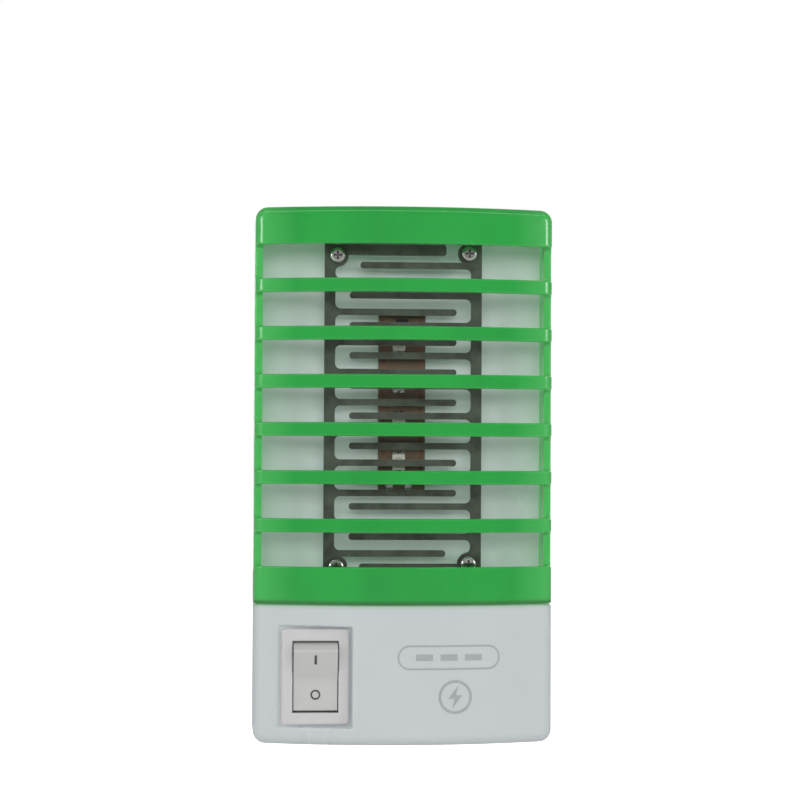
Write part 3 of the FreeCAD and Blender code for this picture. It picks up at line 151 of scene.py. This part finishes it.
def moulded(
    name, colour, roughness, grain=0.02, mottle=0.05, corner_shade=0.12, glow=0.0, glow_reach=1.0, coat=0.0
):
    """Injection-moulded plastic: faint flow clouds, an orange-peel skin, rubbed edges, and painted shade
    darkening the corners.
    """
    finish = Finish(name)
    clouds = finish.noise(14, 4, finish.stretched(1, 1, 0.45))
    fine = finish.noise(0.9, 2)
    base = finish.blend(finish.span(clouds, 0.3, 0.7), [c * (1 - mottle) for c in colour], colour)
    patchy = finish.span(finish.noise(3), 0.35, 0.65, 0.2, 0.75)
    rubbed = finish.maths("MULTIPLY", finish.edges(0.35), patchy)
    light = [min(1.0, c + 0.35 * (1 - c) * max(colour)) for c in colour]
    base = finish.blend(finish.maths("MULTIPLY", rubbed, 0.45), base, light)
    # Painted shade: corners and hollows are darkened in patches, towards half the plastic's colour.
    corner_shade_mask = finish.maths("MULTIPLY", finish.hollows(2.2), finish.span(finish.noise(5), 0.3, 0.7, 0.4, 1.0))
    base = finish.blend(finish.maths("MULTIPLY", corner_shade_mask, corner_shade), base, [c * 0.5 for c in colour])
    scuffed = finish.span(finish.noise(22, 5), 0.35, 0.75, roughness * 0.85, roughness * 1.25)
    scuffed = finish.maths("ADD", scuffed, finish.maths("MULTIPLY", rubbed, 0.12))
    peel = finish.bump(finish.noise(1.6, 2), grain, 0.6)
    skin = finish.bump(fine, grain * 0.3, 0.5, peel)
    finish.base = base
    finish.set(Base_Color=base, Roughness=scuffed, Normal=skin, IOR=1.5, Coat_Weight=coat)
    finish.set(Coat_Roughness=0.08)
    if glow:
        finish.set(Subsurface_Weight=glow, Subsurface_Scale=glow_reach * MM, Subsurface_Radius=colour)
    return finish


def metal(name, bright, dark, roughness, brushed=0.15, blotch=4.0, metallic=1.0, recess=0.5):
    """Plated or bare metal with tarnish blotches, fine drawn lines, polished edges and painted shade in
    its recesses.
    """
    finish = Finish(name)
    tarnish = finish.span(finish.noise(blotch, 5), 0.4, 0.68)
    worn = finish.maths("MULTIPLY", finish.edges(0.2), 0.8)
    base = finish.blend(tarnish, bright, dark)
    base = finish.blend(worn, base, [min(1.0, c * 1.35 + 0.05) for c in bright])
    # Painted shade: recesses are darkened nearly to black.
    recess_shade = finish.maths("MULTIPLY", finish.hollows(0.9), recess)
    base = finish.blend(recess_shade, base, [c * 0.12 for c in dark])
    lines = finish.noise(0.12, 2, finish.stretched(1, 1, 12))
    rough = finish.span(tarnish, 0, 1, roughness, roughness * 1.7)
    skin = finish.bump(lines, 0.004, brushed)
    skin = finish.bump(finish.noise(0.8, 3), 0.02, 0.25, skin)
    finish.set(Base_Color=base, Roughness=rough, Metallic=metallic, Normal=skin)
    return finish


def green_cover():
    """Glossy green plastic. Where it's shaded, a faint green glow is painted in, standing in for the light
    that seeps through it.
    """
    green = (0.017, 0.385, 0.056)
    finish = moulded(
        "cover_green", green, 0.2, grain=0.015, mottle=0.14, corner_shade=0.25, glow=0.35, glow_reach=2.0
    )
    axes = finish.add("ShaderNodeSeparateXYZ", {0: finish.place}).outputs
    aside = finish.maths("ABSOLUTE", axes["X"], 0.0)
    # Painted light: the cover's sides are made paler green, as if lit through their thin walls.
    thin = finish.maths("MULTIPLY", finish.span(aside, 24, 33, 0, 0.6), finish.span(axes["Y"], -19, -24))
    painted_side_light, painted_seam_shade = (0.10, 0.56, 0.14), (0.035, 0.12, 0.035)
    base = finish.blend(thin, finish.base, painted_side_light)
    # Painted shade: the cover's lowest edge, at the seam with the base, is darkened to deep green.
    low_edge = finish.span(axes["Z"], -14.3, -15.2, 0, 0.8, smooth=True)
    finish.set(Base_Color=finish.blend(low_edge, base, painted_seam_shade))
    # Painted light: a green glow in the shaded hollows, for light coming through the plastic.
    finish.set(Emission_Color=(0.12, 0.50, 0.15))
    finish.set(Emission_Strength=finish.maths("MULTIPLY", finish.hollows(7), 0.45))
    finish.set(Subsurface_Radius=(0.25, 1.0, 0.35), Coat_Weight=0.25, Coat_Roughness=0.06)
    return finish


def case_white():
    """The white case: glossy and a trace cool, with painted green light, glow and shade under the cover
    and at the seam.
    """
    white = (0.585, 0.62, 0.635)
    finish = moulded(
        "case_white", white, 0.24, grain=0.02, mottle=0.03, corner_shade=0.06, glow=0.4, glow_reach=1.5
    )
    axes = finish.add("ShaderNodeSeparateXYZ", {0: finish.place}).outputs
    painted_cover_light, painted_seam_green = (0.74, 0.82, 0.78), (0.33, 0.52, 0.36)
    shade_glow, recess_glow = (0.52, 0.95, 0.66), (0.88, 0.92, 0.93)
    height, in_front = axes["Z"], finish.span(axes["Y"], -14.2, -14.8)
    covered = finish.add("ShaderNodeAmbientOcclusion", {"Distance": 20 * MM}, samples=6).outputs["AO"]
    shade = finish.span(covered, 0.95, 0.45, 0, 0.8)
    behind_cover = finish.maths("MULTIPLY", in_front, finish.span(height, -16, -15))
    shade = finish.maths("MULTIPLY", shade, behind_cover)
    # Painted light: where the cover shades the plate, the plate is made a paler green.
    base = finish.blend(shade, finish.base, painted_cover_light)
    # Painted shade: the base's top edge at the seam under the cover gets a darker green band.
    seam = finish.span(height, -16.6, -15.7, 0, 0.75)
    seam = finish.maths("MULTIPLY", seam, finish.span(height, -15, -15.5))
    seam = finish.maths("MULTIPLY", seam, in_front)
    # Painted light: small recesses low on the base glow faintly white, and the plate under the cover glows
    # green.
    below = finish.span(height, -17, -18)
    recess = finish.maths("MULTIPLY", finish.hollows(2.5), finish.maths("MULTIPLY", below, 0.15))
    glow = finish.maths("MAXIMUM", finish.maths("MULTIPLY", shade, 0.08), recess)
    finish.set(Base_Color=finish.blend(seam, base, painted_seam_green), Emission_Strength=glow)
    finish.set(Emission_Color=finish.blend(below, shade_glow, recess_glow))
    return finish


def grid_steel():
    """Dull dark stamped steel with a brownish bloom."""
    return metal("grid_steel", (0.108, 0.130, 0.102), (0.070, 0.078, 0.062), 0.46, 0.35, 5.0, 0.5)


def strip_brown():
    """The light strip's board: dark lacquer over the weave, a little copper showing through."""
    finish = Finish("strip_brown")
    weave = finish.add(
        "ShaderNodeTexBrick",
        {"Vector": finish.stretched(1, 0, 1), "Scale": 2.2, "Mortar Size": 0.03, "Bias": -0.4},
    )
    lacquer = finish.blend(finish.noise(3, 4), (0.094, 0.082, 0.050), (0.165, 0.105, 0.062))
    base = finish.blend(finish.span(weave.outputs["Fac"], 0, 1, 0, 0.3), lacquer, (0.17, 0.11, 0.06))
    skin = finish.bump(weave.outputs["Fac"], 0.01, 0.4)
    rough = finish.span(finish.noise(2), 0.3, 0.7, 0.28, 0.45)
    finish.set(Base_Color=base, Roughness=rough, Normal=skin, Coat_Weight=0.3)
    return finish


def lamp_resin():
    """Clear, faintly yellow resin in a lamp's cup."""
    finish = Finish("lamp_resin")
    core = finish.noise(0.6, 2)
    base = finish.blend(core, (0.62, 0.63, 0.50), (0.82, 0.82, 0.72))
    finish.set(Base_Color=base, Roughness=0.12, Transmission_Weight=0.25, IOR=1.48)
    finish.set(Normal=finish.bump(core, 0.01, 0.3))
    return finish


def insulation(name, colour):
    """Soft wire insulation, a little dull."""
    return moulded(name, colour, 0.42, grain=0.03, mottle=0.15, corner_shade=0.1)


def board_brown():
    """Paper-phenolic circuit board with its fibres."""
    finish = Finish("board_brown")
    fibres = finish.noise(0.5, 5, finish.stretched(1, 1, 0.15))
    base = finish.blend(fibres, (0.30, 0.17, 0.06), (0.46, 0.30, 0.13))
    rough = finish.span(fibres, 0.3, 0.7, 0.35, 0.55)
    finish.set(Base_Color=base, Roughness=rough, Normal=finish.bump(fibres, 0.02, 0.4))
    return finish


def printed(name, colour, wear=0.35):
    """Thin pad-printed ink, a little worn."""
    finish = Finish(name)
    worn = finish.span(finish.noise(0.7, 5), 0.35, 0.7)
    base = finish.blend(worn, colour, [c + (0.72 - c) * wear for c in colour])
    finish.set(Base_Color=base, Roughness=finish.span(worn, 0, 1, 0.35, 0.5))
    finish.set(Normal=finish.bump(finish.noise(0.3, 2), 0.004, 0.4))
    return finish


FINISHES = {
    "case_white": case_white,
    "cover_green": green_cover,
    "pin_nickel": lambda: metal("pin_nickel", (0.66, 0.62, 0.54), (0.52, 0.46, 0.36), 0.16),
    "sleeve_black": lambda: moulded("sleeve_black", (0.025, 0.025, 0.027), 0.38, corner_shade=0.05),
    "screw_zinc": lambda: metal("screw_zinc", (0.60, 0.62, 0.64), (0.42, 0.42, 0.40), 0.28),
    "screw_nickel": lambda: metal(
        "screw_nickel", (0.80, 0.80, 0.78), (0.60, 0.59, 0.55), 0.14, recess=0.95
    ),
    "board_brown": board_brown,
    "strip_brown": strip_brown,
    "solder": lambda: metal("solder", (0.62, 0.63, 0.64), (0.44, 0.44, 0.43), 0.22),
    "capacitor_yellow": lambda: moulded("capacitor_yellow", (0.62, 0.42, 0.03), 0.3),
    "capacitor_red": lambda: moulded("capacitor_red", (0.26, 0.018, 0.008), 0.22, coat=0.4),
    "component_black": lambda: moulded("component_black", (0.018, 0.018, 0.02), 0.36, corner_shade=0.05),
    "resistor_tan": lambda: moulded("resistor_tan", (0.50, 0.34, 0.17), 0.35),
    "lamp_white": lambda: moulded("lamp_white", (0.72, 0.72, 0.62), 0.35, corner_shade=0.2),
    "grid_steel": grid_steel,
    "terminal_brass": lambda: metal("terminal_brass", (0.72, 0.50, 0.18), (0.48, 0.30, 0.10), 0.24),
    "switch_grey": lambda: moulded(
        "switch_grey", (0.62, 0.61, 0.615), 0.2, glow=0.3, glow_reach=1.2, corner_shade=0.06
    ),
    "rocker_grey": lambda: moulded("rocker_grey", (0.56, 0.56, 0.545), 0.22, glow=0.2, corner_shade=0.1),
    "wire_brown": lambda: insulation("wire_brown", (0.10, 0.035, 0.015)),
    "wire_blue": lambda: insulation("wire_blue", (0.01, 0.06, 0.30)),
    "wire_red": lambda: insulation("wire_red", (0.38, 0.012, 0.01)),
    "wire_black": lambda: insulation("wire_black", (0.02, 0.02, 0.02)),
}


# ---------------------------------------------------------------- mesh helpers


def add_piece(name, mesh, finish, body):
    """Turns a finished bmesh into an object that rides on a body and wears a finish."""
    bmesh.ops.recalc_face_normals(mesh, faces=mesh.faces)
    data = bpy.data.meshes.new(name)
    mesh.to_mesh(data)
    mesh.free()
    piece = bpy.data.objects.new(name, data)
    bpy.context.scene.collection.objects.link(piece)
    data.materials.append(finish.material)
    data.shade_smooth()
    data.set_sharp_from_angle(angle=math.radians(35))
    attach(piece, body)
    return piece


def surface_below(node):
    """A function from (x, z) to the y of a node's first surface met from the front."""
    mesh = bmesh.new()
    mesh.from_mesh(frame["nodes"][node].data)
    tree = BVHTree.FromBMesh(mesh)
    mesh.free()
    well_in_front = -200 * MM
    return lambda x, z: tree.ray_cast(Vector((x, well_in_front, z)), Vector((0, 1, 0)))[0].y


def draped(polygons, depth, rise, sink=0.03):
    """A thin closed skin: flat (x, z) polygons in mm, laid on a surface and given a thickness."""
    mesh = bmesh.new()
    corners = {}
    for polygon in polygons:
        face = []
        for x, z in polygon:
            key = (round(x, 4), round(z, 4))
            if key not in corners:
                corners[key] = mesh.verts.new((x * MM, 0, z * MM))
            face.append(corners[key])
        mesh.faces.new(face)
    outside = list(mesh.verts)
    swept = bmesh.ops.extrude_face_region(mesh, geom=list(mesh.faces), use_keep_orig=True)
    inside = [item for item in swept["geom"] if isinstance(item, bmesh.types.BMVert)]
    for vertices, lift in ((outside, rise), (inside, -sink)):
        for vertex in vertices:
            vertex.co.y = depth(vertex.co.x, vertex.co.z) - lift * MM
    return mesh


def ring(centre, inner, outer, count=64):
    """The quads of a flat ring."""
    quads = []
    for step in range(count):
        turns = [2 * math.pi * (step + more) / count for more in (0, 1)]
        quad = [(inner, turns[0]), (outer, turns[0]), (outer, turns[1]), (inner, turns[1])]
        quads.append([(centre[0] + r * math.cos(a), centre[1] + r * math.sin(a)) for r, a in quad])
    return quads


def bar(left, low, right, high, longest=1.0):
    """The quads of a flat bar, cut up along x so that it can follow a curved front."""
    count = max(1, math.ceil((right - left) / longest))
    edges = [left + (right - left) * step / count for step in range(count + 1)]
    return [[(a, low), (b, low), (b, high), (a, high)] for a, b in zip(edges, edges[1:])]


def pill(centre, half_length, radius, line):
    """The quads of a pill-shaped outline."""
    path = []
    turns, straight = 16, 14
    for side, first in ((1, -90), (-1, 90)):
        for step in range(turns + 1):
            angle = math.radians(first + 180 * step / turns)
            path.append((side * half_length, angle))
    points = []
    for index, (reach, angle) in enumerate(path):
        points.append((reach, angle))
        if index in (turns, 2 * turns + 1):
            other = path[(index + 1) % len(path)][0]
            for step in range(1, straight):
                points.append((reach + (other - reach) * step / straight, angle))
    quads = []
    for here, there in zip(points, points[1:] + points[:1]):
        quad = [(here, radius - line), (here, radius), (there, radius), (there, radius - line)]
        quads.append(
            [(centre[0] + x + r * math.cos(a), centre[1] + r * math.sin(a)) for (x, a), r in quad]
        )
    return quads


def turned(centre, profile, count=32):
    """A closed shape turned about an axis along Y: profile is (radius, y) in mm, from axis to axis."""
    mesh = bmesh.new()
    rows = []
    for radius, y in profile:
        if radius == 0:
            rows.append([mesh.verts.new((centre[0] * MM, y * MM, centre[1] * MM))])
            continue
        row = []
        for step in range(count):
            angle = 2 * math.pi * step / count
            x, z = centre[0] + radius * math.cos(angle), centre[1] + radius * math.sin(angle)
            row.append(mesh.verts.new((x * MM, y * MM, z * MM)))
        rows.append(row)
    for upper, lower in zip(rows, rows[1:]):
        for step in range(count):
            after = (step + 1) % count
            face = [upper[step % len(upper)], upper[after % len(upper)]]
            face += [lower[after % len(lower)], lower[step % len(lower)]]
            mesh.faces.new(list(dict.fromkeys(face)))
    return mesh


def joined(meshes):
    """One bmesh from several."""
    whole = bmesh.new()
    for mesh in meshes:
        data = bpy.data.meshes.new("part")
        mesh.to_mesh(data)
        mesh.free()
        whole.from_mesh(data)
        bpy.data.meshes.remove(data)
    return whole


# ---------------------------------------------------------------- pieces


def dress_frame():
    """Gives every CAD node the finish of its material slot."""
    finishes = {}
    for part in frame["record"]["subparts"]:
        slot = part["material_slot"]
        if slot not in finishes:
            finishes[slot] = FINISHES[slot]()
        node = frame["nodes"][part["node"]]
        node.data.materials.clear()
        node.data.materials.append(finishes[slot].material)
    return finishes


def front_print():
    """Plain faint marks on the base: a pill with three dashes, and a ring with a bolt."""
    surface = surface_below("front_housing")
    pill_centre, ring_centre = (9.75, -26.9), (11.15, -35.5)
    dash_spacing, half_dash, half_stroke = 5.4, 1.9, 0.7
    polygons = pill(pill_centre, 8.6, 2.7, 0.4)
    x, z = pill_centre
    for dash in (-1, 0, 1):
        middle = x + dash_spacing * dash
        polygons += bar(middle - half_dash, z - half_stroke, middle + half_dash, z + half_stroke)
    polygons += ring(ring_centre, 3.1, 3.7)
    bolt = [(0.6, 2.5), (-1.6, -0.4), (-0.2, -0.4), (-0.6, -2.5), (1.6, 0.4), (0.2, 0.4)]
    x, z = ring_centre
    polygons += [[(x + a, z + b) for a, b in bolt[:3] + bolt[5:]], [(x + a, z + b) for a, b in bolt[2:]]]
    skin = draped(polygons, surface, 0.015)
    add_piece("front_print", skin, printed("print_grey", (0.36, 0.385, 0.395), 0.12), "case")


def rocker_marks():
    """The on and off marks, moulded into the rocker and filled with dark ink."""
    low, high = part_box("switch_rocker")
    middle = (low + high) / 2 / MM
    surface = surface_below("switch_rocker")
    reach, half_width, half_height = 3.9, 0.28, 1.05
    x, z = middle.x, middle.z + reach
    polygons = bar(x - half_width, z - half_height, x + half_width, z + half_height)
    polygons += ring((middle.x, middle.z - reach), 0.72, 1.1, 32)
    skin = draped(polygons, surface, 0.012)
    add_piece("rocker_marks", skin, printed("mark_ink", (0.03, 0.03, 0.034), 0.12), "rocker")


def islands(node):
    """The (low, high) corners in mm of every loose part of a node, from the lowest to the highest."""
    mesh = bmesh.new()
    mesh.from_mesh(frame["nodes"][node].data)
    bmesh.ops.remove_doubles(mesh, verts=mesh.verts, dist=1e-6)
    waiting = set(mesh.verts)
    boxes = []
    while waiting:
        front = [waiting.pop()]
        part = []
        while front:
            here = front.pop()
            part.append(here.co / MM)
            fresh = {edge.other_vert(here) for edge in here.link_edges} & waiting
            waiting -= fresh
            front.extend(fresh)
        columns = list(zip(*part))
        boxes.append(tuple(Vector([pick(column) for column in columns]) for pick in (min, max)))
    mesh.free()
    return sorted(boxes, key=lambda box: (round(box[0].z, 2), round(box[0].x, 2)))


def lamps(solder):
    """Resin in the lamp cups, bright solder at both ends of each lamp, and the strip's copper tracks."""
    strip_low, strip_high = (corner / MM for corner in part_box("led_board"))
    cup, joint_offset, pad_gap = 1.13, 0.7, 0.12
    half_rail, half_pad, half_pad_height, half_link = 0.55, 1.25, 0.5, 0.28
    dome = [(0, 0.02), (0.35 * cup, 0.03), (0.65 * cup, 0.08), (0.85 * cup, 0.13), (cup, 0.17)]
    dome += [(cup, 0.45), (0, 0.45)]
    fillet = [(0, -0.42), (0.35, -0.36), (0.6, -0.2), (0.72, 0), (0, 0)]
    domes, drops, copper = [], [], []
    rail, rail_end = strip_high.x - 1.1, 0.8
    for side in (-1, 1):
        x = side * rail
        copper += bar(x - half_rail, strip_low.z + rail_end, x + half_rail, strip_high.z - rail_end)
    for low, high in islands("uv_leds"):
        x, z = (low.x + high.x) / 2, (low.z + high.z) / 2
        domes.append(turned((x, z), [(radius, low.y + y) for radius, y in dome]))
        for end, edge in ((-1, low.z), (1, high.z)):
            pad_z = edge + end * pad_gap
            for side in (-1, 1):
                profile = [(radius, strip_low.y + y) for radius, y in fillet]
                drops.append(turned((x + side * joint_offset, pad_z), profile, 16))
            copper += bar(x - half_pad, pad_z - half_pad_height, x + half_pad, pad_z + half_pad_height)
            inner, outer = sorted((x - end * half_pad, -end * (rail - half_rail)))
            copper += bar(inner, pad_z - half_link, outer, pad_z + half_link)
    add_piece("lamp_domes", joined(domes), lamp_resin(), "case")
    add_piece("lamp_solder", joined(drops), solder, "case")
    tracks = draped(copper, lambda x, z: strip_low.y * MM, 0.05)
    finish = metal("track_copper", (0.20, 0.115, 0.070), (0.12, 0.072, 0.044), 0.4, 0.2, 2.0, 0.25)
    add_piece("strip_tracks", tracks, finish, "case")


# ---------------------------------------------------------------- stage


def camera():
    """The viewing angle: nearly square on, a touch from the left and from below the middle."""
    lens = bpy.data.cameras.new("camera")
    lens.lens, lens.sensor_width = 84.95, 36.0
    lens.clip_start = 0.01
    view = bpy.data.objects.new("camera", lens)
    yaw, pitch, roll = (math.radians(angle) for angle in (3.561, 1.314, 0.271))
    turn = Matrix.Rotation(-yaw, 4, "Z") @ Matrix.Rotation(math.pi / 2 + pitch, 4, "X")
    place = Matrix.Translation(Vector((-26.85, -443.53, 19.78)) * MM)
    view.matrix_world = place @ turn @ Matrix.Rotation(roll, 4, "Z")
    bpy.context.scene.collection.objects.link(view)
    bpy.context.scene.camera = view


def soft_light(name, place, size, power, mirrored=True):
    """A soft box aimed at the middle of the object; it needn't show in glossy surfaces."""
    target = (0, -0.02, 0.01)
    lamp = bpy.data.lights.new(name, "AREA")
    lamp.shape, lamp.size, lamp.size_y = "RECTANGLE", size[0], size[1]
    lamp.energy = power
    light = bpy.data.objects.new(name, lamp)
    light.visible_glossy = mirrored
    light.location = place
    light.rotation_euler = (Vector(target) - Vector(place)).to_track_quat("-Z", "Y").to_euler()
    bpy.context.scene.collection.objects.link(light)


def studio():
    """A white sweep: white behind for the camera, soft boxes in front, above and behind, a pale floor."""
    bpy.context.scene.view_settings.view_transform = "Standard"
    world = bpy.data.worlds.new("studio")
    bpy.context.scene.world = world
    world.use_nodes = True
    nodes, links = world.node_tree.nodes, world.node_tree.links
    path = nodes.new("ShaderNodeLightPath")
    strength = nodes.new("ShaderNodeMapRange")
    lit, seen_by_camera = 0.30, 1.0
    strength.inputs["To Min"].default_value = lit
    strength.inputs["To Max"].default_value = seen_by_camera
    links.new(path.outputs["Is Camera Ray"], strength.inputs["Value"])
    background = nodes["Background"]
    background.inputs["Color"].default_value = (1, 1, 1, 1)
    links.new(strength.outputs["Result"], background.inputs["Strength"])
    soft_light("key", (-0.05, -0.92, 0.24), (1.0, 0.3), 3.0, mirrored=False)
    soft_light("rim", (0, -0.34, 0.78), (1.3, 0.1), 1.1)
    soft_light("back", (0.20, 0.90, 0.30), (0.8, 0.8), 2.2)
    for side in (-1, 1):
        soft_light("fill", (side * 0.74, -0.52, 0.20), (0.3, 0.22), 1.6)

    floor_z = cad_box[0][2] - 60 * MM
    mesh = bmesh.new()
    bmesh.ops.create_grid(mesh, x_segments=8, y_segments=8, size=3.0)
    data = bpy.data.meshes.new("floor")
    mesh.to_mesh(data)
    mesh.free()
    floor = bpy.data.objects.new("floor", data)
    floor.location.z = floor_z
    bpy.context.scene.collection.objects.link(floor)
    pale = Finish("floor_pale")
    seen = pale.add("ShaderNodeLightPath").outputs["Is Camera Ray"]
    glow = pale.span(seen, 0, 1, 0.0, 0.8)
    cloud = pale.blend(pale.noise(60), (0.88, 0.88, 0.88), (0.93, 0.93, 0.93))
    pale.set(Base_Color=cloud, Roughness=0.8, Emission_Color=(1, 1, 1), Emission_Strength=glow)
    data.materials.append(pale.material)


finishes = dress_frame()
front_print()
rocker_marks()
lamps(finishes["solder"])
camera()
studio()
